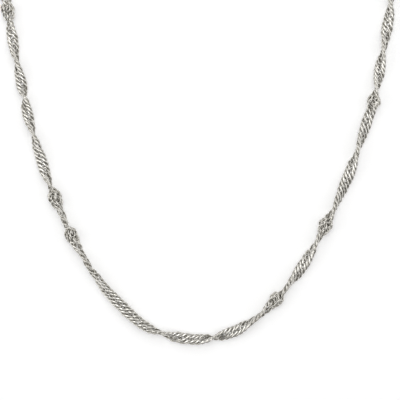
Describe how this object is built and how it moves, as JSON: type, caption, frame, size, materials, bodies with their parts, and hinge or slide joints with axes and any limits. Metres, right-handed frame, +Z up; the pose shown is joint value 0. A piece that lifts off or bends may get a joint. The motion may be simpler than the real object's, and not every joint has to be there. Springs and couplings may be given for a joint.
{
  "type": "singapore chain necklace",
  "caption": "Silver neck chain of interlocked curb links twisted into a rippling band, with bunched knots along it, closed by jump rings and a plain box clasp.",
  "frame": {"origin": "centre of the laid-out loop, on the surface it lies on", "axes": "+Y from the front of the loop to the clasp, +X across the loop to the right strand, +Z up from the surface"},
  "size_m": [0.0934, 0.1826, 0.0035],
  "materials": {
    "silver": "polished warm silver links with diamond-cut flats"
  },
  "bodies": {
    "root": {"chain": "silver", "jump_ring_left": "silver", "jump_ring_right": "silver", "clasp": "silver"}
  },
  "joints": []
}
